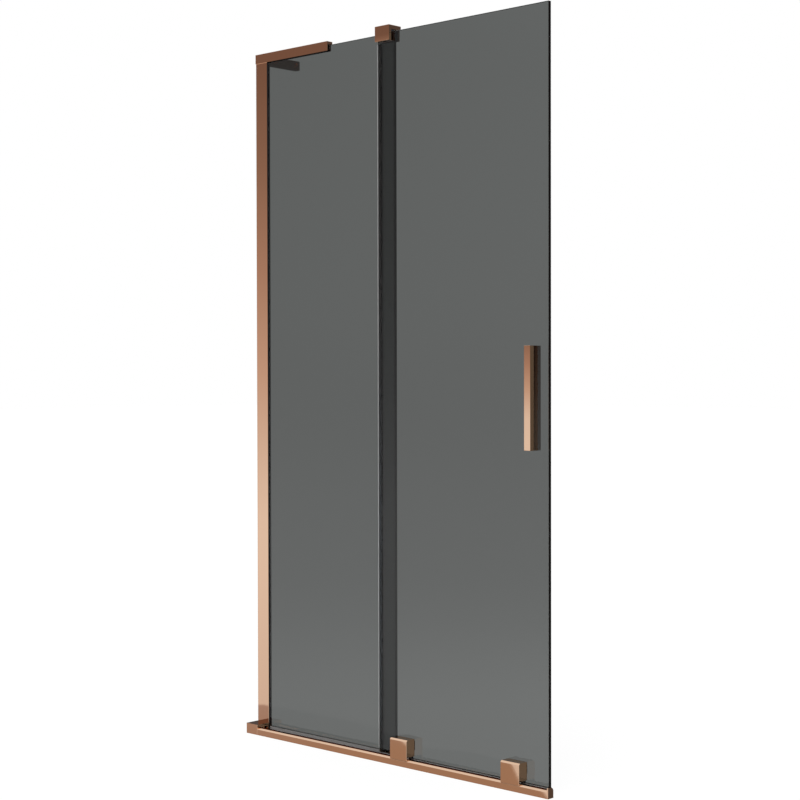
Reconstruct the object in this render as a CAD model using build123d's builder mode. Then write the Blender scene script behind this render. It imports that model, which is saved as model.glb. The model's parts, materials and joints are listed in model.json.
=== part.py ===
from build123d import *

import os
from math import sqrt

# Sliding bath screen: a fixed pane held in a wall profile, and a second pane that rolls
# in front of it on a low rail. Millimetres, +Z up. X runs along the bath rim from the
# wall, Y from the front to the back. The origin is on the wall and on the bath rim, in
# the middle of the fixed pane's thickness.

os.makedirs("parts", exist_ok=True)

# Glass
glass = 8.0
glass_edge_chamfer = 0.5
pane_gap = 4.5
sliding_pane_bottom = 8.0
sliding_pane_top = 1500.0
sliding_pane_width = 447.7
fixed_pane_bottom = 9.0
fixed_pane_rise = 1.0
fixed_pane_start = 10.0
fixed_pane_width = 416.6
pane_overlap = 36.6

# Metalwork edges, clearances and small screws
edge_round = 0.5
top_chamfer = 0.4
fit_gap = 0.05
seat_gap = 0.3
grub_radius = 2.5
grub_recess = 0.3
hex_key = 2.5

# Bottom rail
rail_overrun = 14.3
rail_depth = 16.0
rail_face_height = 12.2
rail_front_chamfer = 3.2
rail_rear_chamfer = 2.5
groove_front = 4.5
groove_width = 8.0
groove_depth = 4.4
tape_width = 10.0
tape_thickness = 1.0
end_cap_thickness = 3.0
end_cap_height = 20.5
end_cap_rear_round = 7.5
end_cap_front_round = 2.5
spigot_length = 7.0
spigot_gap = 0.2

# Wall bracket and wall profile
wall_depth = 35.5
bracket_height = 22.4
profile_back = 2.0
profile_wall = 1.5
gasket_thickness = 0.9
gasket_leg = 19.5
gasket_bead_width = 2.7
gasket_bead_depth = 1.8
seal_foot = 0.5
wall_hole_radius = 2.5
wall_hole_inset = 130.0
screw_hole_radius = 2.75
screw_head_radius = 5.5
screw_seat = 6.0
setting_block_height = 3.0
setting_block_inset = 2.0

# Corner brace over the top of the fixed pane
brace_length = 229.8
brace_height = 20.3
brace_wall = 2.1
brace_roof = 6.2
liner_wall = 2.0
liner_lip = 0.8
liner_setback = 0.5
brace_arm_width = 14.0
brace_arm_reach = 117.5
brace_hole_inset = 12.5
brace_hole_spacing = 60.0
brace_screw_inset = 60.0

# Top guide that straddles both panes
guide_width = 40.5
guide_overhang = 2.8
guide_leg = 22.8
guide_roof = 8.6
guide_front_leg = 7.0
guide_rear_leg = 5.3
guide_leg_gap = 1.6
guide_pad_back = 1.5
guide_pad_top = 4.0
glide_side_gap = 0.3
glide_top_gap = 0.6
glide_setback = 1.0
guide_screw_spacing = 18.0
guide_screw_rise = 9.8

# Carriages
carriage_depth = 24.0
carriage_width = 46.2
carriage_height = 35.3
carriage_inset = 53.3
carriage_lift = 4.6
housing_front = 2.5
housing_side = 2.5
housing_roof = 3.5
skirt_gap = 0.7
carriage_gasket = 0.5
roller_block_lift = 0.9
roller_slot_width = 7.0
roller_slot_headroom = 1.8
bolt_spacing = 24.0
bolt_rise = 8.4
bolt_radius = 3.0
bolt_grip = 15.5
bolt_head_radius = 5.0
hole_run_out = 1.0
glass_hole_radius = 6.0
back_plate_width = 36.0
back_plate_height = 20.0
back_plate_thickness = 2.0
back_gasket = 0.8
cover_screw_radius = 1.5
cover_screw_head_radius = 3.0
cover_screw_head = 2.0
cover_screw_grip = 7.8
cover_screw_inset = 5.5

# Rollers
roller_radius = 9.25
roller_width = 6.0
roller_spacing = 21.0
roller_edge_round = 0.6
roller_drop_gap = 0.3
bearing_radius = 6.5
bearing_width = 5.0
sleeve_radius = 3.5
axle_radius = 2.0
axle_grip = 5.5

# Rail stops
travel_end_gap = 14.5
stop_length = 10.0
stop_screw_radius = 2.0
stop_screw_grip = 6.0

# Screws that join the bracket to the rail
rail_screw_radius = 2.0
rail_screw_head_radius = 3.5
rail_screw_head = 4.0
rail_screw_seat = 6.0
rail_screw_grip = 14.5
rail_screw_spacing = 8.4

# Handle
handle_inset = 35.7
handle_width = 15.0
handle_bottom = 652.0
handle_length = 200.0
outer_handle_depth = 11.7
inner_handle_depth = 16.7
handle_gasket = 0.4
handle_bolt_inset = 25.0
handle_bolt_radius = 2.5
handle_bolt_head_radius = 4.25
handle_bolt_head = 4.0
handle_bolt_seat = 9.0
handle_bolt_grip = 8.0
handle_hole_radius = 5.5

# Clear seals on the glass
seal_wall = 1.0
seal_lip = 6.0
seal_tip = 1.0
sliding_seal_foot = 1.5
edge_seal_lip = 10.0
edge_seal_nose = 2.6
edge_seal_wall = 0.8
edge_seal_round = 1.8
edge_seal_bottom_gap = 6.0
edge_seal_top_gap = 4.2

# Planes of the two panes, of the rail and of the things between them
fixed_front = -glass / 2
fixed_back = glass / 2
fixed_pane_end = fixed_pane_start + fixed_pane_width
fixed_pane_top = sliding_pane_top + fixed_pane_rise
sliding_back = fixed_front - pane_gap
sliding_front = sliding_back - glass
sliding_middle = (sliding_front + sliding_back) / 2
sliding_pane_start = fixed_pane_end - pane_overlap
sliding_pane_end = sliding_pane_start + sliding_pane_width
slot_half = fixed_back + gasket_thickness
slot_floor = fixed_pane_bottom - setting_block_height
profile_half = slot_half + profile_wall
gasket_end = wall_depth + gasket_bead_width

# Rail section, from its front face and from the rim
rail_end = sliding_pane_end + rail_overrun
rail_front = sliding_front - carriage_depth
rail_back = rail_front + rail_depth
rail_middle = rail_front + rail_depth / 2
rail_top = rail_face_height + rail_front_chamfer
groove_floor = rail_top - groove_depth
groove_y = (rail_front + groove_front, rail_front + groove_front + groove_width)
groove_middle = (groove_y[0] + groove_y[1]) / 2
spigot_y = (groove_y[0] + spigot_gap, groove_y[1] - spigot_gap)
spigot_top = rail_top - spigot_gap
tape_y = (rail_middle - tape_width / 2, rail_middle + tape_width / 2)
rail_screw_height = (tape_thickness + groove_floor) / 2
rail_screws_at = (rail_middle - rail_screw_spacing / 2, rail_middle + rail_screw_spacing / 2)
rail_screw_end = wall_depth + rail_screw_grip

# Corner brace
liner_half = fixed_back + liner_wall
brace_half = liner_half + brace_wall
brace_ceiling = fixed_pane_top + liner_wall
brace_top = brace_ceiling + brace_roof
brace_bottom = brace_top - brace_height
brace_middle_height = (brace_bottom + brace_top) / 2
brace_screws_at = (brace_screw_inset, brace_length - brace_screw_inset)
brace_holes_at = (
    brace_arm_reach - brace_hole_inset - brace_hole_spacing,
    brace_arm_reach - brace_hole_inset,
)
wall_holes_at = (
    bracket_height + wall_hole_inset,
    (bracket_height + brace_bottom) / 2,
    brace_bottom - wall_hole_inset,
)

# Top guide
guide_end = fixed_pane_end + guide_overhang
guide_start = guide_end - guide_width
guide_ceiling = fixed_pane_top + guide_pad_top
guide_top = guide_ceiling + guide_roof
guide_bottom = guide_ceiling - guide_leg
guide_front_inner = sliding_front - guide_leg_gap
guide_front = guide_front_inner - guide_front_leg
guide_rear_inner = fixed_back + guide_pad_back
guide_rear = guide_rear_inner + guide_rear_leg
glide_bottom = guide_bottom + glide_setback
guide_middle = (guide_start + guide_end) / 2
guide_screws_at = (guide_middle - guide_screw_spacing / 2, guide_middle + guide_screw_spacing / 2)
guide_screw_height = guide_bottom + guide_screw_rise

# Planes inside a carriage
gasket_plane = sliding_front - carriage_gasket
carriage_bottom = rail_top + carriage_lift
carriage_top = carriage_bottom + carriage_height
carriage_half = carriage_width / 2
housing_inner_front = rail_front + housing_front
housing_inner_top = carriage_top - housing_roof
skirt_bottom = rail_face_height + skirt_gap
block_bottom = rail_top + roller_block_lift
block_half = carriage_half - housing_side
roller_height = groove_floor + roller_radius + roller_drop_gap
roller_slot_y = (groove_middle - roller_slot_width / 2, groove_middle + roller_slot_width / 2)
roller_slot_top = roller_height + roller_radius + roller_slot_headroom
axle_y = (housing_inner_front, roller_slot_y[1] + axle_grip)
bolt_height = roller_slot_top + bolt_rise
bolt_tip = gasket_plane - bolt_grip
cover_screw_y = gasket_plane - cover_screw_inset
cover_screw_top = carriage_top - housing_roof / 3
cover_screw_seat = housing_inner_top - cover_screw_grip
carriages = {
    "left": sliding_pane_start + carriage_inset + carriage_half,
    "right": sliding_pane_end - carriage_inset - carriage_half,
}
roller_places = [
    centre + side * roller_spacing / 2
    for centre in carriages.values()
    for side in (-1, 1)
]
bolt_places = [
    centre + side * bolt_spacing / 2
    for centre in carriages.values()
    for side in (-1, 1)
]

# Stops: each meets the nearest roller, near the top of the groove, at the travel's end
travel = sliding_pane_start - wall_depth - travel_end_gap
roller_reach = sqrt(roller_radius**2 - (roller_height - spigot_top) ** 2)
left_stop_end = min(roller_places) - travel - roller_reach - seat_gap
right_stop_start = max(roller_places) + roller_reach + seat_gap
stops = (
    (left_stop_end - stop_length, left_stop_end),
    (right_stop_start, right_stop_start + stop_length),
)
stop_screws_at = [(start + end) / 2 for start, end in stops]
stop_screw_bottom = groove_floor - stop_screw_grip

# Handle
handle_x = (sliding_pane_end - handle_inset - handle_width, sliding_pane_end - handle_inset)
handle_z = (handle_bottom, handle_bottom + handle_length)
handle_middle = (handle_x[0] + handle_x[1]) / 2
handle_bolts_at = (handle_z[0] + handle_bolt_inset, handle_z[1] - handle_bolt_inset)
outer_back = sliding_front - handle_gasket
inner_front = sliding_back + handle_gasket
inner_back = sliding_back + inner_handle_depth
handle_seat = inner_back - handle_bolt_seat

# The bracket's own wall screw stands midway between the rail and the profile
bracket_screw_y = (rail_back - profile_half) / 2
bracket_screw_z = bracket_height / 2


def save(piece, name):
    """Label a finished piece and write it to its own file."""
    piece.part.label = name
    export_step(piece.part, f"parts/{name}.step")


def block(x, y, z, mode=Mode.ADD):
    """A block between two values on each axis, in the part being built."""
    with Locations(((x[0] + x[1]) / 2, (y[0] + y[1]) / 2, (z[0] + z[1]) / 2)):
        Box(x[1] - x[0], y[1] - y[0], z[1] - z[0], mode=mode)


def rod_x(x, y, z, radius, mode=Mode.ADD):
    """A round bar along X between the two values of x."""
    with Locations(Location(((x[0] + x[1]) / 2, y, z), (0, 90, 0))):
        Cylinder(radius, x[1] - x[0], mode=mode)


def rod_y(x, y, z, radius, mode=Mode.ADD):
    """A round bar along Y between the two values of y."""
    with Locations(Location((x, (y[0] + y[1]) / 2, z), (90, 0, 0))):
        Cylinder(radius, y[1] - y[0], mode=mode)


def rod_z(x, y, z, radius, mode=Mode.ADD):
    """A round bar along Z between the two values of z."""
    with Locations((x, y, (z[0] + z[1]) / 2)):
        Cylinder(radius, z[1] - z[0], mode=mode)


def hex_socket(plane, depth):
    """A hexagonal key socket sunk into the part being built."""
    with BuildSketch(plane) as outline:
        RegularPolygon(hex_key / sqrt(3), 6)
    extrude(outline.sketch, amount=-depth, mode=Mode.SUBTRACT)


# Wall profile: a slim U channel on the wall, open towards the glass
with BuildPart() as wall_profile:
    block((0, wall_depth), (-profile_half, profile_half), (bracket_height, brace_bottom))
    fillet(wall_profile.edges().filter_by(Axis.Z), edge_round)
    block(
        (profile_back, wall_depth),
        (-slot_half, slot_half),
        (bracket_height, brace_bottom),
        Mode.SUBTRACT,
    )
    for height in wall_holes_at:
        rod_x((0, profile_back), 0, height, wall_hole_radius, Mode.SUBTRACT)
save(wall_profile, "wall_profile")

# Gaskets: a thin leg between glass and channel, and a bead against its edge
for side, name in ((-1, "wall_gasket_front"), (1, "wall_gasket_rear")):
    with BuildPart() as gasket:
        with BuildSketch(Plane.XY.offset(fixed_pane_bottom)):
            with BuildLine():
                Polyline(
                    (wall_depth - gasket_leg, side * fixed_back),
                    (wall_depth, side * fixed_back),
                    (wall_depth, side * slot_half),
                    (wall_depth - gasket_leg, side * slot_half),
                    close=True,
                )
            make_face()
        extrude(amount=brace_bottom - fixed_pane_bottom)
        with BuildSketch(Plane.XY.offset(seal_foot)):
            with BuildLine():
                Polyline(
                    (wall_depth, side * fixed_back),
                    (gasket_end, side * fixed_back),
                    (gasket_end, side * (fixed_back + gasket_bead_depth / 4)),
                    (gasket_end - gasket_bead_depth, side * (fixed_back + gasket_bead_depth)),
                    (wall_depth, side * (fixed_back + gasket_bead_depth)),
                    close=True,
                )
            make_face()
        extrude(amount=brace_bottom - seal_foot)
    save(gasket, name)

# Fixed pane
with BuildPart() as fixed_pane:
    block(
        (fixed_pane_start, fixed_pane_end),
        (fixed_front, fixed_back),
        (fixed_pane_bottom, fixed_pane_top),
    )
    broad_faces = fixed_pane.faces().filter_by(Axis.Y)
    chamfer(broad_faces.edges(), glass_edge_chamfer)
save(fixed_pane, "fixed_pane")

# Clip-on seal under the fixed pane, from the gasket to the pane's end
with BuildPart() as fixed_pane_bottom_seal:
    seal_half = fixed_back + seal_wall
    with BuildSketch(Plane.YZ.offset(gasket_end + seat_gap)):
        with BuildLine():
            Polyline(
                (-seal_half, fixed_pane_bottom + seal_lip),
                (-seal_half, fixed_pane_bottom - seal_lip),
                (-seal_tip, seal_foot),
                (seal_tip, seal_foot),
                (seal_half, fixed_pane_bottom - seal_lip),
                (seal_half, fixed_pane_bottom + seal_lip),
                (fixed_back, fixed_pane_bottom + seal_lip),
                (fixed_back, fixed_pane_bottom),
                (fixed_front, fixed_pane_bottom),
                (fixed_front, fixed_pane_bottom + seal_lip),
                close=True,
            )
        make_face()
    extrude(amount=fixed_pane_end - gasket_end - seat_gap)
save(fixed_pane_bottom_seal, "fixed_pane_bottom_seal")

# Setting block that carries the fixed pane inside the bracket's slot
with BuildPart() as setting_block:
    block(
        (fixed_pane_start + setting_block_inset, wall_depth - setting_block_inset),
        (fixed_front, fixed_back),
        (slot_floor, fixed_pane_bottom),
    )
save(setting_block, "setting_block")

# Corner brace: a channel over the fixed pane's top edge and an arm back along the wall
with BuildPart() as corner_brace:
    block((0, brace_length), (-brace_half, brace_half), (brace_bottom, brace_top))
    block((0, brace_arm_width), (-brace_half, brace_arm_reach), (brace_bottom, brace_top))
    fillet(corner_brace.edges().filter_by(Axis.Z), edge_round)
    chamfer(corner_brace.faces().sort_by(Axis.Z)[-1].edges(), top_chamfer)
    block(
        (fixed_pane_start - liner_wall, brace_length),
        (-liner_half, liner_half),
        (brace_bottom, brace_ceiling),
        Mode.SUBTRACT,
    )
    for place in brace_screws_at:
        rod_y(place, (liner_half, brace_half), brace_middle_height, grub_radius + fit_gap, Mode.SUBTRACT)
    for place in brace_holes_at:
        rod_x((0, brace_arm_width), place, brace_middle_height, screw_hole_radius, Mode.SUBTRACT)
        rod_x(
            (screw_seat, brace_arm_width),
            place,
            brace_middle_height,
            screw_head_radius,
            Mode.SUBTRACT,
        )
save(corner_brace, "corner_brace")

# Liner between the brace and the glass, with a lip that shows under the brace
with BuildPart() as brace_liner:
    liner_end = brace_length - liner_setback
    block(
        (fixed_pane_start, liner_end),
        (-liner_half, liner_half),
        (brace_bottom, brace_ceiling),
    )
    block(
        (gasket_end + seat_gap, liner_end),
        (-liner_half, liner_half),
        (brace_bottom - liner_lip, brace_bottom),
    )
    block(
        (fixed_pane_start, liner_end),
        (fixed_front, fixed_back),
        (brace_bottom - liner_lip, fixed_pane_top),
        Mode.SUBTRACT,
    )
save(brace_liner, "brace_liner")

with BuildPart() as brace_set_screws:
    for place in brace_screws_at:
        rod_y(place, (liner_half, brace_half - grub_recess), brace_middle_height, grub_radius)
    for place in brace_screws_at:
        head = Plane((place, brace_half - grub_recess, brace_middle_height), (1, 0, 0), (0, 1, 0))
        hex_socket(head, brace_wall / 2)
save(brace_set_screws, "brace_set_screws")

# Top guide: a solid saddle clamped on the fixed pane's end, open below for both panes
with BuildPart() as guide_saddle:
    block((guide_start, guide_end), (guide_front, guide_rear), (guide_bottom, guide_top))
    fillet(guide_saddle.edges(), edge_round)
    block(
        (guide_start, guide_end),
        (guide_front_inner, guide_rear_inner),
        (guide_bottom, guide_ceiling),
        Mode.SUBTRACT,
    )
    for place in guide_screws_at:
        rod_y(
            place,
            (guide_rear_inner, guide_rear),
            guide_screw_height,
            grub_radius + fit_gap,
            Mode.SUBTRACT,
        )
save(guide_saddle, "guide_saddle")

# Nylon glide in the saddle: it wraps the sliding pane's top edge with running room
with BuildPart() as guide_glide:
    block(
        (guide_start + glide_setback, guide_end - glide_setback),
        (guide_front_inner, fixed_front),
        (glide_bottom, guide_ceiling),
    )
    block(
        (guide_start, guide_end),
        (sliding_front - glide_side_gap, sliding_back + glide_side_gap),
        (glide_bottom, sliding_pane_top + glide_top_gap),
        Mode.SUBTRACT,
    )
save(guide_glide, "guide_glide")

# Rubber pad between the saddle and the fixed pane's top edge and back
with BuildPart() as guide_pad:
    block(
        (guide_start + glide_setback, fixed_pane_end),
        (fixed_front, guide_rear_inner),
        (fixed_pane_top, guide_ceiling),
    )
    block(
        (guide_start + glide_setback, fixed_pane_end),
        (fixed_back, guide_rear_inner),
        (glide_bottom, fixed_pane_top),
    )
save(guide_pad, "guide_pad")

with BuildPart() as guide_set_screws:
    for place in guide_screws_at:
        rod_y(place, (guide_rear_inner, guide_rear - grub_recess), guide_screw_height, grub_radius)
    for place in guide_screws_at:
        head = Plane((place, guide_rear - grub_recess, guide_screw_height), (1, 0, 0), (0, 1, 0))
        hex_socket(head, guide_rear_leg / 2)
save(guide_set_screws, "guide_set_screws")

# Bottom rail: chamfered front, a groove for the rollers and a recess for its tape
with BuildPart() as bottom_rail:
    with BuildSketch(Plane.YZ.offset(wall_depth)):
        with BuildLine():
            Polyline(
                (rail_front, 0),
                (tape_y[0], 0),
                (tape_y[0], tape_thickness),
                (tape_y[1], tape_thickness),
                (tape_y[1], 0),
                (rail_back, 0),
                (rail_back, rail_top - rail_rear_chamfer),
                (rail_back - rail_rear_chamfer, rail_top),
                (groove_y[1], rail_top),
                (groove_y[1], groove_floor),
                (groove_y[0], groove_floor),
                (groove_y[0], rail_top),
                (rail_front + rail_front_chamfer, rail_top),
                (rail_front, rail_face_height),
                close=True,
            )
        make_face()
    extrude(amount=rail_end - wall_depth)
    for place in stop_screws_at:
        rod_z(
            place,
            groove_middle,
            (stop_screw_bottom, groove_floor),
            stop_screw_radius + fit_gap,
            Mode.SUBTRACT,
        )
    for place in rail_screws_at:
        rod_x(
            (wall_depth, rail_screw_end + hole_run_out),
            place,
            rail_screw_height,
            rail_screw_radius + fit_gap,
            Mode.SUBTRACT,
        )
save(bottom_rail, "bottom_rail")

with BuildPart() as rail_bedding_tape:
    block((wall_depth, rail_end), tape_y, (0, tape_thickness))
save(rail_bedding_tape, "rail_bedding_tape")

# End cap: a plate with rounded shoulders and a spigot in the groove
with BuildPart() as rail_end_cap:
    block((rail_end, rail_end + end_cap_thickness), (rail_front, rail_back), (0, end_cap_height))
    for place, shoulder in ((-1, end_cap_rear_round), (0, end_cap_front_round)):
        top_edges = rail_end_cap.edges().filter_by(Axis.X).group_by(Axis.Z)[-1]
        fillet(top_edges.sort_by(Axis.Y)[place], shoulder)
    block((rail_end - spigot_length, rail_end), spigot_y, (groove_floor, spigot_top))
save(rail_end_cap, "rail_end_cap")

with BuildPart() as rail_stops:
    for stop in stops:
        block(stop, spigot_y, (groove_floor, spigot_top))
    for place in stop_screws_at:
        rod_z(place, groove_middle, (groove_floor, spigot_top), stop_screw_radius + fit_gap, Mode.SUBTRACT)
save(rail_stops, "rail_stops")

with BuildPart() as rail_stop_screws:
    for place in stop_screws_at:
        rod_z(place, groove_middle, (stop_screw_bottom, spigot_top - grub_recess), stop_screw_radius)
    for place in stop_screws_at:
        hex_socket(Plane((place, groove_middle, spigot_top - grub_recess)), groove_depth / 2)
save(rail_stop_screws, "rail_stop_screws")

# Wall bracket: a block under the profile that carries the rail's end and the fixed pane
with BuildPart() as rail_wall_bracket:
    block((0, wall_depth), (rail_front, profile_half), (0, bracket_height))
    fillet(rail_wall_bracket.edges().filter_by(Axis.Z).group_by(Axis.Y)[0], edge_round)
    block((profile_back, wall_depth), (-slot_half, slot_half), (slot_floor, bracket_height), Mode.SUBTRACT)
    rod_x((0, wall_depth), bracket_screw_y, bracket_screw_z, screw_hole_radius, Mode.SUBTRACT)
    rod_x(
        (screw_seat, wall_depth),
        bracket_screw_y,
        bracket_screw_z,
        screw_head_radius,
        Mode.SUBTRACT,
    )
    for place in rail_screws_at:
        rod_x(
            (0, wall_depth),
            place,
            rail_screw_height,
            rail_screw_radius + fit_gap,
            Mode.SUBTRACT,
        )
        rod_x(
            (0, rail_screw_seat),
            place,
            rail_screw_height,
            rail_screw_head_radius + fit_gap,
            Mode.SUBTRACT,
        )
save(rail_wall_bracket, "rail_wall_bracket")

with BuildPart() as rail_bracket_screws:
    for place in rail_screws_at:
        rod_x(
            (rail_screw_seat, rail_screw_end),
            place,
            rail_screw_height,
            rail_screw_radius,
        )
        rod_x(
            (rail_screw_seat - rail_screw_head, rail_screw_seat),
            place,
            rail_screw_height,
            rail_screw_head_radius,
        )
    for place in rail_screws_at:
        head = Plane(
            (rail_screw_seat - rail_screw_head, place, rail_screw_height),
            (0, 1, 0),
            (-1, 0, 0),
        )
        hex_socket(head, rail_screw_head / 2)
save(rail_bracket_screws, "rail_bracket_screws")

# Sliding pane, drilled for the carriages and the handle
with BuildPart() as sliding_pane:
    block(
        (sliding_pane_start, sliding_pane_end),
        (sliding_front, sliding_back),
        (sliding_pane_bottom, sliding_pane_top),
    )
    broad_faces = sliding_pane.faces().filter_by(Axis.Y)
    chamfer(broad_faces.edges(), glass_edge_chamfer)
    for place in bolt_places:
        rod_y(place, (sliding_front, sliding_back), bolt_height, glass_hole_radius, Mode.SUBTRACT)
    for height in handle_bolts_at:
        rod_y(handle_middle, (sliding_front, sliding_back), height, handle_hole_radius, Mode.SUBTRACT)
save(sliding_pane, "sliding_pane")

# Clear push-on seal on the sliding pane's wall-side edge, with a fin towards the fixed pane
with BuildPart() as pane_edge_seal:
    seal_start = sliding_pane_start - edge_seal_nose
    seal_end = sliding_pane_start + edge_seal_lip
    fin_start = seal_start + edge_seal_round
    fin_root = sliding_back + edge_seal_wall / 2
    fin_tip = fixed_front - seat_gap
    edge_seal_bottom = sliding_pane_bottom + seal_lip + edge_seal_bottom_gap
    edge_seal_top = guide_bottom - edge_seal_top_gap
    with BuildSketch(Plane.XY.offset(edge_seal_bottom)):
        with Locations(((seal_start + seal_end) / 2, sliding_middle)):
            outline = Rectangle(seal_end - seal_start, glass + 2 * edge_seal_wall)
        fillet(outline.vertices().group_by(Axis.X)[0], edge_seal_round)
        with BuildLine():
            Polyline(
                (fin_start, fin_root),
                (fin_start + 2 * edge_seal_wall, fin_root),
                (fin_start + 4 * edge_seal_wall, fin_tip),
                (fin_start + 3 * edge_seal_wall, fin_tip),
                close=True,
            )
        make_face()
        with Locations(((sliding_pane_start + seal_end) / 2, sliding_middle)):
            Rectangle(edge_seal_lip, glass, mode=Mode.SUBTRACT)
    extrude(amount=edge_seal_top - edge_seal_bottom)
save(pane_edge_seal, "pane_edge_seal")

# Clip-on seal under the sliding pane
with BuildPart() as sliding_pane_bottom_seal:
    seal_half = glass / 2 + seal_wall
    with BuildSketch(Plane.YZ.offset(sliding_pane_start + glass_edge_chamfer)):
        with BuildLine():
            Polyline(
                (sliding_middle - seal_half, sliding_pane_bottom + seal_lip),
                (sliding_middle - seal_half, sliding_pane_bottom - seal_lip / 2),
                (sliding_middle - seal_tip, sliding_seal_foot),
                (sliding_middle + seal_tip, sliding_seal_foot),
                (sliding_middle + seal_half, sliding_pane_bottom - seal_lip / 2),
                (sliding_middle + seal_half, sliding_pane_bottom + seal_lip),
                (sliding_back, sliding_pane_bottom + seal_lip),
                (sliding_back, sliding_pane_bottom),
                (sliding_front, sliding_pane_bottom),
                (sliding_front, sliding_pane_bottom + seal_lip),
                close=True,
            )
        make_face()
    extrude(amount=sliding_pane_width - 2 * glass_edge_chamfer)
save(sliding_pane_bottom_seal, "sliding_pane_bottom_seal")

for side, centre in carriages.items():
    inner = (centre - block_half, centre + block_half)
    outer = (centre - carriage_half, centre + carriage_half)

    # Housing: a cover open below and behind, with a front skirt cut parallel to the rail
    with BuildPart() as housing:
        with BuildSketch(Plane.YZ.offset(outer[0])):
            with BuildLine():
                Polyline(
                    (rail_front, skirt_bottom),
                    (housing_inner_front, skirt_bottom + housing_front),
                    (housing_inner_front, carriage_bottom),
                    (gasket_plane, carriage_bottom),
                    (gasket_plane, carriage_top),
                    (rail_front + rail_front_chamfer, carriage_top),
                    (rail_front, carriage_top - rail_front_chamfer),
                    close=True,
                )
            make_face()
        extrude(amount=carriage_width)
        fillet(housing.edges().filter_by(Axis.Z).group_by(Axis.Y)[0], edge_round)
        block(
            inner,
            (housing_inner_front, gasket_plane),
            (carriage_bottom, housing_inner_top),
            Mode.SUBTRACT,
        )
        rod_z(
            centre,
            cover_screw_y,
            (housing_inner_top, cover_screw_top),
            cover_screw_radius + fit_gap,
            Mode.SUBTRACT,
        )
    save(housing, f"carriage_housing_{side}")

    # Roller block inside the housing, with its slot, axle bores and threaded holes
    with BuildPart() as roller_block:
        block(inner, (housing_inner_front, gasket_plane), (block_bottom, housing_inner_top))
        block(inner, roller_slot_y, (block_bottom, roller_slot_top), Mode.SUBTRACT)
        for offset in (-roller_spacing / 2, roller_spacing / 2):
            rod_y(centre + offset, axle_y, roller_height, axle_radius, Mode.SUBTRACT)
        for offset in (-bolt_spacing / 2, bolt_spacing / 2):
            rod_y(
                centre + offset,
                (bolt_tip - hole_run_out, gasket_plane),
                bolt_height,
                bolt_radius + fit_gap,
                Mode.SUBTRACT,
            )
        rod_z(
            centre,
            cover_screw_y,
            (block_bottom, housing_inner_top),
            cover_screw_radius + fit_gap,
            Mode.SUBTRACT,
        )
        rod_z(
            centre,
            cover_screw_y,
            (block_bottom, cover_screw_seat),
            cover_screw_head_radius + fit_gap,
            Mode.SUBTRACT,
        )
    save(roller_block, f"roller_block_{side}")

with BuildPart() as housing_screws:
    for centre in carriages.values():
        rod_z(
            centre,
            cover_screw_y,
            (cover_screw_seat, cover_screw_top),
            cover_screw_radius,
        )
        rod_z(
            centre,
            cover_screw_y,
            (cover_screw_seat - cover_screw_head, cover_screw_seat),
            cover_screw_head_radius,
        )
    for centre in carriages.values():
        head = Plane(
            (centre, cover_screw_y, cover_screw_seat - cover_screw_head),
            (1, 0, 0),
            (0, 0, -1),
        )
        hex_socket(head, cover_screw_head / 2)
save(housing_screws, "housing_screws")

# Gaskets in front of the glass and behind it
with BuildPart() as carriage_gaskets:
    for centre in carriages.values():
        block(
            (centre - carriage_half, centre + carriage_half),
            (gasket_plane, sliding_front),
            (carriage_bottom, carriage_top),
        )
    for place in bolt_places:
        rod_y(place, (gasket_plane, sliding_front), bolt_height, bolt_radius + fit_gap, Mode.SUBTRACT)
save(carriage_gaskets, "carriage_gaskets")

plate_front = sliding_back + back_gasket
plate_back = plate_front + back_plate_thickness
plate_z = (bolt_height - back_plate_height / 2, bolt_height + back_plate_height / 2)
with BuildPart() as back_plate_gaskets:
    for centre in carriages.values():
        block(
            (centre - back_plate_width / 2, centre + back_plate_width / 2),
            (sliding_back, plate_front),
            plate_z,
        )
    for place in bolt_places:
        rod_y(place, (sliding_back, plate_front), bolt_height, bolt_radius + fit_gap, Mode.SUBTRACT)
save(back_plate_gaskets, "back_plate_gaskets")

# Back plates, countersunk so that the bolt heads pass the fixed pane
with BuildPart() as carriage_back_plates:
    for centre in carriages.values():
        block(
            (centre - back_plate_width / 2, centre + back_plate_width / 2),
            (plate_front, plate_back),
            plate_z,
        )
    fillet(carriage_back_plates.edges().filter_by(Axis.Y), edge_round)
    for place in bolt_places:
        with Locations(Location((place, (plate_front + plate_back) / 2, bolt_height), (90, 0, 0))):
            Cone(
                bolt_head_radius + fit_gap,
                bolt_radius + fit_gap,
                back_plate_thickness,
                mode=Mode.SUBTRACT,
            )
save(carriage_back_plates, "carriage_back_plates")

with BuildPart() as carriage_bolts:
    for place in bolt_places:
        rod_y(place, (bolt_tip, plate_front), bolt_height, bolt_radius)
        with Locations(Location((place, (plate_front + plate_back) / 2, bolt_height), (90, 0, 0))):
            Cone(bolt_head_radius, bolt_radius, back_plate_thickness)
    for place in bolt_places:
        head = Plane((place, plate_back, bolt_height), (1, 0, 0), (0, 1, 0))
        hex_socket(head, back_plate_thickness)
save(carriage_bolts, "carriage_bolts")

with BuildPart() as carriage_bushes:
    for place in bolt_places:
        rod_y(place, (sliding_front, sliding_back), bolt_height, glass_hole_radius - fit_gap)
    for place in bolt_places:
        rod_y(place, (sliding_front, sliding_back), bolt_height, bolt_radius + fit_gap, Mode.SUBTRACT)
save(carriage_bushes, "carriage_bushes")

# Axles and the fixed sleeves that the rollers turn on
with BuildPart() as roller_axles:
    for place in roller_places:
        rod_y(place, axle_y, roller_height, axle_radius)
save(roller_axles, "roller_axles")

with BuildPart() as roller_sleeves:
    for place in roller_places:
        rod_y(place, roller_slot_y, roller_height, sleeve_radius)
    for place in roller_places:
        rod_y(place, roller_slot_y, roller_height, axle_radius, Mode.SUBTRACT)
save(roller_sleeves, "roller_sleeves")

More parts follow.
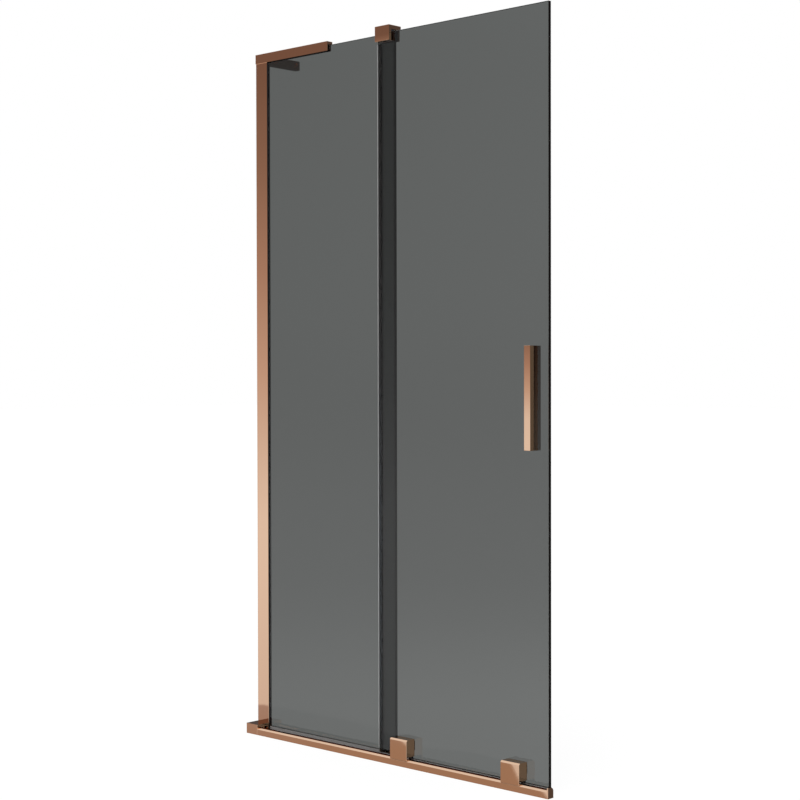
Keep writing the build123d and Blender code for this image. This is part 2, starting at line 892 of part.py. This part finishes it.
# Rollers, numbered from the wall: a bearing ring in a nylon tyre
bearing_y = (groove_middle - bearing_width / 2, groove_middle + bearing_width / 2)
tyre_y = (groove_middle - roller_width / 2, groove_middle + roller_width / 2)
for number, place in enumerate(roller_places, start=1):
    with BuildPart() as bearing:
        rod_y(place, bearing_y, roller_height, bearing_radius)
        rod_y(place, bearing_y, roller_height, sleeve_radius + fit_gap, Mode.SUBTRACT)
    save(bearing, f"roller_bearing_{number}")
    with BuildPart() as tyre:
        rod_y(place, tyre_y, roller_height, roller_radius)
        fillet(tyre.edges(), roller_edge_round)
        rod_y(place, tyre_y, roller_height, bearing_radius, Mode.SUBTRACT)
    save(tyre, f"roller_tyre_{number}")

# Handle: a shallow bar outside and a deeper one inside, bolted through the glass
with BuildPart() as outer_handle:
    block(handle_x, (sliding_front - outer_handle_depth, outer_back), handle_z)
    chamfer(outer_handle.faces().sort_by(Axis.Y)[0].edges(), edge_round)
    for height in handle_bolts_at:
        rod_y(
            handle_middle,
            (outer_back - handle_bolt_grip - hole_run_out, outer_back),
            height,
            handle_bolt_radius + fit_gap,
            Mode.SUBTRACT,
        )
save(outer_handle, "outer_handle")

with BuildPart() as inner_handle:
    block(handle_x, (inner_front, inner_back), handle_z)
    chamfer(inner_handle.faces().sort_by(Axis.Y)[-1].edges(), edge_round)
    for height in handle_bolts_at:
        rod_y(
            handle_middle,
            (inner_front, inner_back),
            height,
            handle_bolt_radius + fit_gap,
            Mode.SUBTRACT,
        )
        rod_y(
            handle_middle,
            (handle_seat, inner_back),
            height,
            handle_bolt_head_radius + fit_gap,
            Mode.SUBTRACT,
        )
save(inner_handle, "inner_handle")

with BuildPart() as handle_gaskets:
    for y in ((outer_back, sliding_front), (sliding_back, inner_front)):
        block(handle_x, y, handle_z)
    for height in handle_bolts_at:
        rod_y(
            handle_middle,
            (outer_back, inner_front),
            height,
            handle_bolt_radius + fit_gap,
            Mode.SUBTRACT,
        )
save(handle_gaskets, "handle_gaskets")

with BuildPart() as handle_bolts:
    head_back = handle_seat + handle_bolt_head
    for height in handle_bolts_at:
        rod_y(handle_middle, (outer_back - handle_bolt_grip, handle_seat), height, handle_bolt_radius)
        rod_y(handle_middle, (handle_seat, head_back), height, handle_bolt_head_radius)
    for height in handle_bolts_at:
        head = Plane((handle_middle, head_back, height), (1, 0, 0), (0, 1, 0))
        hex_socket(head, handle_bolt_head / 2)
save(handle_bolts, "handle_bolts")

with BuildPart() as handle_bushes:
    for height in handle_bolts_at:
        rod_y(
            handle_middle,
            (sliding_front, sliding_back),
            height,
            handle_hole_radius - fit_gap,
        )
    for height in handle_bolts_at:
        rod_y(
            handle_middle,
            (sliding_front, sliding_back),
            height,
            handle_bolt_radius + fit_gap,
            Mode.SUBTRACT,
        )
save(handle_bushes, "handle_bushes")
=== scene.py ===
"""Looks for the sliding bath screen: glass, polished rose gold, seals, studio and camera.

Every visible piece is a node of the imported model, so the script gives each one its material
and lights it. Lengths are in metres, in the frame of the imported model: X runs along the bath
rim away from the wall, Y from the front of the screen to its back, and Z up.
"""

import json
import math

import bpy
from mathutils import Matrix, Vector


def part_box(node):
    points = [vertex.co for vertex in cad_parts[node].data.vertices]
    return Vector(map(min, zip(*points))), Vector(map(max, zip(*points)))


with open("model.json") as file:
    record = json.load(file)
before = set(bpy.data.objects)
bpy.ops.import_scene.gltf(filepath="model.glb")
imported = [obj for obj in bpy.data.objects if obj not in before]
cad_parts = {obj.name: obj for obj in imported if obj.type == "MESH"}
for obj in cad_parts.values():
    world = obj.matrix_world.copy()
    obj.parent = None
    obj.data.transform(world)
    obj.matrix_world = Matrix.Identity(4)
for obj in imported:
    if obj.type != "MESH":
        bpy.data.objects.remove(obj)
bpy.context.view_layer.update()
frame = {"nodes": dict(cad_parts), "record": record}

# Camera, fitted to the straight edges of the screen
LENS_MM = 75.2355
SENSOR_MM = 36.0
CAMERA_AT = Vector((2.8083, -2.4939, 0.7982))
CAMERA_YAW = math.radians(43.58)
CAMERA_DIP = math.radians(0.888)
CAMERA_ROLL = math.radians(-0.108)
CAMERA_CLIP = (0.05, 100.0)

# Colours, linear
WHITE = (1.0, 1.0, 1.0)
ROSE_GOLD = (0.73, 0.44, 0.27)
STEEL = (0.56, 0.55, 0.53)
BLACK_RUBBER = (0.005, 0.005, 0.005)
BLACK_NYLON = (0.014, 0.014, 0.015)
WHITE_NYLON = (0.78, 0.77, 0.74)
FOAM = (0.62, 0.62, 0.60)

# The middle part of a noise's values, over which a finish is spread, and a narrower one
NOISE_MIDDLE = (0.3, 0.7)
NOISE_CORE = (0.35, 0.65)

# Polished metal: cloudy drift of tone and gloss, and fine polishing marks
METAL_CLOUD_SCALE = 9.0
METAL_CLOUD_DETAIL = 3.0
METAL_TONE_DRIFT = 0.975
MARK_STRETCH = 40
MARK_SCALE = 22.0
MARK_ROUGHNESS = 0.004
MARK_HEIGHT = 0.000001

# Faces whose shading bows slightly along Z. Heights count from the middle of the node's box:
# middle of the bow, curvature, and the lowest and highest height of the curved stretch
HANDLE_BOW = (0.005, 0.628, -0.042, 0.148)
SADDLE_BOW = (0.0, 3.3, -0.0179, 0.0)

# Glass with a body tint
GLASS_DENSITY = 300.0
GLASS_COLOR = (0.246, 0.265, 0.256)
GLASS_IOR = 1.5
GLASS_SURFACE_TONES = ((0.985, 0.99, 0.99), WHITE)
GLASS_CLOUD_SCALE = 3.0

# Seals: nearly opaque smoke grey under the panes, and see-through on the sliding pane's edge,
# whose nose carries a painted highlight
SEAL_TONE = 0.32
SEAL_ALPHA = 0.94
EDGE_SEAL_TONE = 0.02
EDGE_SEAL_ALPHA = 0.3
# Pale tone of the edge seal's nose: a painted highlight, not the seal's own colour
NOSE_PAINTED_HIGHLIGHT = 0.95
NOSE_BLEND = 0.0004
SEAL_TONE_DRIFT = 0.85
SEAL_CLOUD_SCALE = 14.0
SEAL_ROUGHNESS = (0.06, 0.12)
SEAL_IOR = 1.45
DIE_LINE_STRETCH = (900.0, 900.0, 3.0)
DIE_LINE_STRENGTH = 0.05
DIE_LINE_DEPTH = 0.0001

# Moulded skins
SKIN_DETAIL = 4.0
SKIN_NOISE_ROUGHNESS = 0.6
SKIN_CLOUD_SCALE = 25.0
SKIN_STRENGTH = 0.3
SKIN_IOR = 1.5


def grey(value):
    return (value, value, value)


class Nodes:
    """A small helper that adds shader nodes to a tree and joins them."""

    def __init__(self, tree):
        self.tree = tree
        tree.nodes.clear()

    def add(self, kind, **inputs):
        """Adds a node; inputs are values or the sockets of other nodes, by socket name."""
        node = self.tree.nodes.new(kind)
        for name, value in inputs.items():
            self.put(node, name.replace("_", " "), value)
        return node

    def put(self, node, name, value):
        socket = node.inputs[name]
        if isinstance(value, bpy.types.NodeSocket):
            self.tree.links.new(value, socket)
        elif isinstance(value, (tuple, list)) and len(value) == 3 and socket.type == "RGBA":
            socket.default_value = (*value, 1.0)
        else:
            socket.default_value = value

    def math(self, operation, *values, clamp=False):
        node = self.tree.nodes.new("ShaderNodeMath")
        node.operation = operation
        node.use_clamp = clamp
        for place, value in enumerate(values):
            self.put(node, place, value)
        return node.outputs[0]

    def ramp(self, factor, stops):
        """A colour ramp; stops are (place, (r, g, b))."""
        node = self.tree.nodes.new("ShaderNodeValToRGB")
        points = node.color_ramp.elements
        while len(points) < len(stops):
            points.new(0.5)
        for point, (place, color) in zip(points, stops):
            point.position = place
            point.color = (*color, 1.0)
        self.tree.links.new(factor, node.inputs[0])
        return node.outputs[0]

    def map_range(self, value, low, high, to_low, to_high):
        node = self.tree.nodes.new("ShaderNodeMapRange")
        node.clamp = True
        for place, item in enumerate((value, low, high, to_low, to_high)):
            self.put(node, place, item)
        return node.outputs[0]

    def mix(self, factor, a, b, blend="MIX"):
        node = self.tree.nodes.new("ShaderNodeMix")
        node.data_type = "RGBA"
        node.blend_type = blend
        # Inputs 6 and 7 and output 2 are the sockets that hold colours
        self.put(node, 0, factor)
        self.put(node, 6, a)
        self.put(node, 7, b)
        return node.outputs[2]

    def noise(self, vector, scale, detail=2.0, roughness=0.5):
        node = self.tree.nodes.new("ShaderNodeTexNoise")
        self.put(node, "Vector", vector)
        self.put(node, "Scale", scale)
        self.put(node, "Detail", detail)
        self.put(node, "Roughness", roughness)
        return node.outputs["Fac"]

    def object_coordinates(self, scale=(1.0, 1.0, 1.0)):
        source = self.tree.nodes.new("ShaderNodeTexCoord").outputs["Object"]
        mapping = self.tree.nodes.new("ShaderNodeMapping")
        self.put(mapping, "Vector", source)
        self.put(mapping, "Scale", scale)
        return mapping.outputs[0]


def new_material(name):
    material = bpy.data.materials.new(name)
    material.use_nodes = True
    nodes = Nodes(material.node_tree)
    shader = nodes.add("ShaderNodeBsdfPrincipled")
    output = nodes.add("ShaderNodeOutputMaterial")
    nodes.tree.links.new(shader.outputs[0], output.inputs["Surface"])
    return material, nodes, shader, output


def bump(nodes, shader, height, strength, distance):
    node = nodes.add("ShaderNodeBump", Height=height, Strength=strength, Distance=distance)
    nodes.put(shader, "Normal", node.outputs[0])


def bow_on(node, middle, curvature, low, high):
    """A bow whose heights count from the middle of a node's box, as heights in the frame."""
    lowest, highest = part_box(node)
    centre = (lowest.z + highest.z) / 2
    return centre + middle, curvature, centre + low, centre + high


def bowed_height(nodes, middle, curvature, low, high):
    """Height of a face that bows outwards about its middle and runs on straight past its ends."""
    place = nodes.add("ShaderNodeSeparateXYZ", Vector=nodes.object_coordinates()).outputs[2]
    held = nodes.math("MINIMUM", nodes.math("MAXIMUM", place, low), high)
    offset = nodes.math("SUBTRACT", held, middle)
    beyond = nodes.math("SUBTRACT", place, held)
    reach = nodes.math("ADD", nodes.math("MULTIPLY", offset, 0.5), beyond)
    return nodes.math("MULTIPLY", nodes.math("MULTIPLY", offset, -curvature), reach)


def polished_metal(name, color, rough=(0.008, 0.018), grain=(1.0, 1.0, 1.0), bow=None):
    """Polished plating: faint cloudy roughness, fine polishing marks and a slight tone drift."""
    material, nodes, shader, _ = new_material(name)
    cloud = nodes.noise(nodes.object_coordinates(grain), METAL_CLOUD_SCALE, METAL_CLOUD_DETAIL)
    mark_grain = tuple(MARK_STRETCH * part for part in grain)
    marks = nodes.noise(nodes.object_coordinates(mark_grain), MARK_SCALE)
    darker = tuple(METAL_TONE_DRIFT * part for part in color)
    drift = nodes.map_range(cloud, *NOISE_MIDDLE, 0.0, 1.0)
    nodes.put(shader, "Base Color", nodes.mix(drift, darker, color))
    rough_value = nodes.math(
        "ADD",
        nodes.map_range(cloud, *NOISE_MIDDLE, *rough),
        nodes.map_range(marks, *NOISE_CORE, 0.0, MARK_ROUGHNESS),
    )
    nodes.put(shader, "Roughness", rough_value)
    shader.inputs["Metallic"].default_value = 1.0
    height = nodes.math("MULTIPLY", marks, MARK_HEIGHT)
    if bow:
        height = nodes.math("ADD", height, bowed_height(nodes, *bow))
    bump(nodes, shader, height, 1.0, 1.0)
    return material


def tinted_glass(name):
    """Clear toughened glass with a grey body tint, so an edge is far darker than a face."""
    material, nodes, shader, output = new_material(name)
    cloud = nodes.noise(nodes.object_coordinates(), GLASS_CLOUD_SCALE)
    nodes.put(shader, "Base Color", nodes.mix(cloud, *GLASS_SURFACE_TONES))
    shader.inputs["Roughness"].default_value = 0.0
    shader.inputs["IOR"].default_value = GLASS_IOR
    shader.inputs["Transmission Weight"].default_value = 1.0
    body = nodes.add("ShaderNodeVolumeAbsorption", Color=GLASS_COLOR, Density=GLASS_DENSITY)
    nodes.tree.links.new(body.outputs[0], output.inputs["Volume"])
    return material


def seal_plastic(name, tone, alpha, nose_end=None):
    """Soft extruded seal in a grey tone, as opaque as alpha says, with the die's faint lines.

    Up to nose_end along X, if given, the seal is pale: a painted highlight standing for the light
    its rounded nose catches.
    """
    material, nodes, shader, _ = new_material(name)
    place = nodes.object_coordinates()
    lines = nodes.noise(nodes.object_coordinates(DIE_LINE_STRETCH), 1.0, 1.0)
    cloud = nodes.noise(place, SEAL_CLOUD_SCALE)
    color = nodes.mix(cloud, grey(SEAL_TONE_DRIFT * tone), grey(tone))
    if nose_end:
        # Painted highlight: the nose, up to nose_end, is pale to stand for the light it catches
        along = nodes.add("ShaderNodeSeparateXYZ", Vector=place).outputs[0]
        past = nodes.map_range(along, nose_end - NOSE_BLEND, nose_end + NOSE_BLEND, 0.0, 1.0)
        color = nodes.mix(past, grey(NOSE_PAINTED_HIGHLIGHT), color)
    nodes.put(shader, "Base Color", color)
    nodes.put(shader, "Roughness", nodes.map_range(lines, *NOISE_MIDDLE, *SEAL_ROUGHNESS))
    shader.inputs["IOR"].default_value = SEAL_IOR
    shader.inputs["Alpha"].default_value = alpha
    bump(nodes, shader, lines, DIE_LINE_STRENGTH, DIE_LINE_DEPTH)
    return material


def moulded(name, color, rough, grain_scale, grain_depth, spread=0.2, gloss=0.5):
    """Rubber, nylon or foam: fine skin texture with slightly uneven tone and gloss."""
    material, nodes, shader, _ = new_material(name)
    place = nodes.object_coordinates()
    skin = nodes.noise(place, grain_scale, SKIN_DETAIL, SKIN_NOISE_ROUGHNESS)
    cloud = nodes.noise(place, SKIN_CLOUD_SCALE)
    low = tuple((1 - spread) * part for part in color)
    high = tuple(min(1.0, (1 + spread) * part) for part in color)
    nodes.put(shader, "Base Color", nodes.mix(cloud, low, high))
    nodes.put(shader, "Roughness", nodes.map_range(skin, *NOISE_MIDDLE, *rough))
    shader.inputs["IOR"].default_value = SKIN_IOR
    shader.inputs["Specular IOR Level"].default_value = gloss
    bump(nodes, shader, skin, SKIN_STRENGTH, grain_depth)
    return material


MATERIALS = {
    "rose_gold_profile": polished_metal("rose_gold_extrusion", ROSE_GOLD, grain=(1.0, 1.0, 0.25)),
    "rose_gold_cast": polished_metal("rose_gold_casting", ROSE_GOLD),
    "tinted_glass": tinted_glass("grey_tinted_glass"),
    "clear_seal": seal_plastic("smoke_seal_plastic", SEAL_TONE, SEAL_ALPHA),
    "black_rubber": moulded(
        "black_rubber_skin", BLACK_RUBBER, (0.55, 0.7), 900.0, 0.0001, gloss=0.25
    ),
    "black_nylon": moulded("black_nylon_skin", BLACK_NYLON, (0.35, 0.5), 1200.0, 0.00008),
    "white_nylon": moulded("white_nylon_skin", WHITE_NYLON, (0.3, 0.42), 1200.0, 0.00005, 0.04),
    "steel": polished_metal("brushed_steel", STEEL, rough=(0.16, 0.26), grain=(1.0, 8.0, 1.0)),
    "foam_tape": moulded("foam_skin", FOAM, (0.8, 0.95), 700.0, 0.0003, 0.08),
}

# Nodes with a finish of their own; the edge seal's nose lies in front of the pane's edge and
# carries a painted highlight up to it
HANDLE_BOW_AT = bow_on("outer_handle", *HANDLE_BOW)
SADDLE_BOW_AT = bow_on("guide_saddle", *SADDLE_BOW)
SLIDING_PANE_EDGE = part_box("sliding_pane")[0].x
OWN_FINISH = {
    "outer_handle": polished_metal("rose_gold_handle", ROSE_GOLD, bow=HANDLE_BOW_AT),
    "guide_saddle": polished_metal("rose_gold_saddle", ROSE_GOLD, bow=SADDLE_BOW_AT),
    "pane_edge_seal": seal_plastic(
        "clear_edge_seal_plastic", EDGE_SEAL_TONE, EDGE_SEAL_ALPHA, SLIDING_PANE_EDGE
    ),
}


def dress():
    """Gives every node its own finish, or else that of its material slot."""
    slot_of = {piece["node"]: piece["material_slot"] for piece in frame["record"]["subparts"]}
    for node_name, item in frame["nodes"].items():
        finish = OWN_FINISH.get(node_name, MATERIALS[slot_of[node_name]])
        for place in range(max(1, len(item.data.materials))):
            if place >= len(item.material_slots):
                item.data.materials.append(None)
            item.material_slots[place].link = "OBJECT"
            item.material_slots[place].material = finish


dress()

# World: white to the camera, and a studio of soft boxes and dark walls to glass and metal.
# Ramps give the light by elevation, in degrees
ELEVATION_SPAN = 90.0
METAL_BALANCE = (1.0, 1.13, 1.30)
FRONT_RAMP = (
    (-60.0, (0.86, 0.82, 0.80)),
    (-11.5, (0.86, 0.82, 0.80)),
    (-8.3, (0.95, 0.94, 0.935)),
    (-6.5, WHITE),
    (-5.0, WHITE),
    (-3.3, (0.93, 0.895, 0.88)),
    (0.1, (0.72, 0.587, 0.526)),
    (3.6, (0.508, 0.365, 0.312)),
    (7.0, (0.337, 0.235, 0.195)),
    (10.3, (0.235, 0.153, 0.125)),
    (18.0, (0.20, 0.14, 0.115)),
    (28.0, (0.75, 0.72, 0.70)),
    (36.0, WHITE),
    (60.0, WHITE),
    (90.0, (0.7, 0.7, 0.7)),
)
BACK_RAMP = (
    (-60.0, (0.20, 0.18, 0.17)),
    (-20.0, (0.11, 0.09, 0.08)),
    (15.0, (0.10, 0.085, 0.08)),
    (30.0, (0.75, 0.73, 0.72)),
    (60.0, WHITE),
    (90.0, (0.7, 0.7, 0.7)),
)
BELOW_BOX = (
    (-12.7, (0.46, 0.33, 0.25)),
    (-11.3, (0.505, 0.405, 0.38)),
)
GLASS_RAMP = (
    (-11.0, 0.79),
    (-9.7, 0.82),
    (-8.3, 0.865),
    (-5.6, 0.865),
    (-4.3, 0.84),
    (-3.0, 0.73),
    (-1.6, 0.66),
    (-0.2, 0.555),
    (2.6, 0.47),
    (5.3, 0.40),
    (8.1, 0.375),
    (18.0, 0.32),
    (36.0, 1.0),
)
GLASS_BELOW_BOX = 0.62
THROUGH_RAMP = (
    (-11.0, 1.0),
    (-9.7, 0.926),
    (-8.3, 0.815),
    (-7.0, 0.751),
    (-5.6, 0.725),
    (-4.3, 0.716),
    (-3.0, 0.733),
    (-1.6, 0.736),
    (-0.2, 0.775),
    (2.6, 0.825),
    (5.3, 0.848),
    (10.9, 0.846),
    (20.0, 1.0),
)
AMBIENT = 0.62

# The lower edge of the big front soft box, by azimuth: degrees below its left-hand end
BOX_EDGE = -11.17
BOX_EDGE_BLUR = 0.03
EDGE_AZIMUTHS = (30.0, 60.0)
EDGE_DROP = (
    (36.0, 4.5),
    (38.5, 3.15),
    (38.7, 2.85),
    (39.5, 2.55),
    (39.8, 1.91),
    (41.2, 1.60),
    (42.9, 1.46),
    (43.35, 1.42),
    (43.65, 1.15),
    (44.95, 0.66),
    (45.98, 0.445),
    (47.0, 0.24),
    (48.3, 0.0),
)
DROP_SCALE = 10.0
DROP_FADE = (-11.0, -8.0)

# The dark walls towards the two back corners, by azimuth: where each one sets in and ends
LEFT_WALL = ((104.0, 118.0), (158.0, 168.0))
RIGHT_WALL = ((-112.0, -122.0), (-152.0, -162.0))


def as_factor(angle):
    """Elevation in degrees as a place on a ramp."""
    return (angle + ELEVATION_SPAN) / (2 * ELEVATION_SPAN)


def studio():
    world = bpy.data.worlds.new("studio")
    bpy.context.scene.world = world
    world.use_nodes = True
    nodes = Nodes(world.node_tree)
    direction = nodes.add("ShaderNodeTexCoord").outputs["Generated"]
    parts = nodes.add("ShaderNodeSeparateXYZ", Vector=direction).outputs
    degrees = math.degrees(1.0)
    elevation = nodes.math("MULTIPLY", nodes.math("ARCSINE", parts[2]), degrees)
    west = nodes.math("MULTIPLY", parts[0], -1.0)
    south = nodes.math("MULTIPLY", parts[1], -1.0)
    azimuth = nodes.math("MULTIPLY", nodes.math("ARCTAN2", west, south), degrees)

    # The soft box's lower edge bends down towards its right-hand end
    first, last = EDGE_AZIMUTHS
    along = nodes.map_range(azimuth, first, last, 0.0, 1.0)
    drops = [((at - first) / (last - first), grey(drop / DROP_SCALE)) for at, drop in EDGE_DROP]
    drop = nodes.math("MULTIPLY", nodes.ramp(along, drops), DROP_SCALE)
    drop = nodes.math("MULTIPLY", drop, nodes.map_range(elevation, *DROP_FADE, 1.0, 0.0))
    shifted = nodes.math("ADD", elevation, drop)
    in_box = nodes.map_range(
        shifted, BOX_EDGE - BOX_EDGE_BLUR, BOX_EDGE + BOX_EDGE_BLUR, 0.0, 1.0
    )

    def ramp(angle, stops):
        factor = nodes.math("DIVIDE", nodes.math("ADD", angle, ELEVATION_SPAN), 2 * ELEVATION_SPAN)
        return nodes.ramp(factor, [(as_factor(place), color) for place, color in stops])

    def in_greys(stops):
        return [(place, grey(level)) for place, level in stops]

    front = nodes.mix(in_box, ramp(elevation, BELOW_BOX), ramp(shifted, FRONT_RAMP))
    in_glass = nodes.mix(in_box, grey(GLASS_BELOW_BOX), ramp(shifted, in_greys(GLASS_RAMP)))
    back = ramp(elevation, BACK_RAMP)
    through = ramp(elevation, in_greys(THROUGH_RAMP))

    # Dark walls lie towards the two back corners; the rest of the room is lit like the front
    to_left, left_end = (nodes.map_range(azimuth, *fade, 0.0, 1.0) for fade in LEFT_WALL)
    to_right, right_end = (nodes.map_range(azimuth, *fade, 0.0, 1.0) for fade in RIGHT_WALL)
    dark = nodes.math(
        "ADD",
        nodes.math("SUBTRACT", to_left, left_end),
        nodes.math("SUBTRACT", to_right, right_end),
        clamp=True,
    )
    in_metal = nodes.mix(1.0, nodes.mix(dark, front, back), METAL_BALANCE, "MULTIPLY")
    in_glass = nodes.mix(dark, in_glass, back)

    # Only clear glass has no roughness at all, so its reflections are the singular ones
    path = nodes.add("ShaderNodeLightPath").outputs
    reflected = nodes.mix(path["Is Singular Ray"], in_metal, in_glass)
    seen = nodes.mix(path["Is Glossy Ray"], grey(AMBIENT), reflected)
    seen = nodes.mix(path["Is Transmission Ray"], seen, through)
    seen = nodes.mix(path["Is Camera Ray"], seen, WHITE)
    background = nodes.add("ShaderNodeBackground", Color=seen, Strength=1.0)
    output = nodes.add("ShaderNodeOutputWorld")
    nodes.tree.links.new(background.outputs[0], output.inputs["Surface"])


studio()

# Floor: pale, nearly white to the camera, keeps the shadow, and lies just below the screen
FLOOR_HALF = 30.0
FLOOR_DROP = 0.0005
FLOOR_TONE = 0.8
FLOOR_SHADOW_TONE = 0.12
FLOOR_GLOW = 0.91


def floor():
    half = FLOOR_HALF
    mesh = bpy.data.meshes.new("floor")
    corners = [(-half, -half, 0), (half, -half, 0), (half, half, 0), (-half, half, 0)]
    mesh.from_pydata(corners, [], [(0, 1, 2, 3)])
    item = bpy.data.objects.new("floor", mesh)
    bpy.context.scene.collection.objects.link(item)
    item.location.z = -FLOOR_DROP
    material = bpy.data.materials.new("pale_floor")
    material.use_nodes = True
    nodes = Nodes(material.node_tree)
    plain = nodes.add("ShaderNodeBsdfDiffuse", Color=grey(FLOOR_SHADOW_TONE))
    glow = nodes.add("ShaderNodeEmission", Color=WHITE, Strength=FLOOR_GLOW)
    both = nodes.tree.nodes.new("ShaderNodeAddShader")
    nodes.tree.links.new(plain.outputs[0], both.inputs[0])
    nodes.tree.links.new(glow.outputs[0], both.inputs[1])
    matt = nodes.add("ShaderNodeBsdfDiffuse", Color=grey(FLOOR_TONE))
    path = nodes.add("ShaderNodeLightPath").outputs
    choose = nodes.tree.nodes.new("ShaderNodeMixShader")
    nodes.put(choose, 0, path["Is Camera Ray"])
    nodes.tree.links.new(matt.outputs[0], choose.inputs[1])
    nodes.tree.links.new(both.outputs[0], choose.inputs[2])
    output = nodes.add("ShaderNodeOutputMaterial")
    nodes.tree.links.new(choose.outputs[0], output.inputs["Surface"])
    item.data.materials.append(material)
    item.visible_glossy = False
    item.visible_transmission = False


floor()

# Lamps: name, direction, strength, and angle across in degrees
LAMPS = (
    ("key", (-0.25, 0.45, -1.0), 1.1, 50.0),
    ("fill", (-0.7, 0.7, -0.25), 0.35, 60.0),
)


def sun(name, towards, strength, spread):
    lamp = bpy.data.lights.new(name, "SUN")
    lamp.energy = strength
    lamp.angle = math.radians(spread)
    item = bpy.data.objects.new(name, lamp)
    item.rotation_euler = Vector(towards).to_track_quat("-Z", "Y").to_euler()
    item.visible_glossy = False
    item.visible_transmission = False
    item.visible_camera = False
    bpy.context.scene.collection.objects.link(item)


for lamp_values in LAMPS:
    sun(*lamp_values)


def camera():
    data = bpy.data.cameras.new("camera")
    data.lens = LENS_MM
    data.sensor_width = SENSOR_MM
    data.clip_start, data.clip_end = CAMERA_CLIP
    item = bpy.data.objects.new("camera", data)
    ahead = Vector(
        (
            -math.sin(CAMERA_YAW) * math.cos(CAMERA_DIP),
            math.cos(CAMERA_YAW) * math.cos(CAMERA_DIP),
            -math.sin(CAMERA_DIP),
        )
    )
    level = Vector((math.cos(CAMERA_YAW), math.sin(CAMERA_YAW), 0.0))
    upright = level.cross(ahead)
    right = level * math.cos(CAMERA_ROLL) + upright * math.sin(CAMERA_ROLL)
    up = upright * math.cos(CAMERA_ROLL) - level * math.sin(CAMERA_ROLL)
    turn = Matrix((right, up, -ahead)).transposed().to_4x4()
    item.matrix_world = Matrix.Translation(CAMERA_AT) @ turn
    bpy.context.scene.collection.objects.link(item)
    bpy.context.scene.camera = item


camera()
bpy.context.scene.view_settings.view_transform = "Standard"
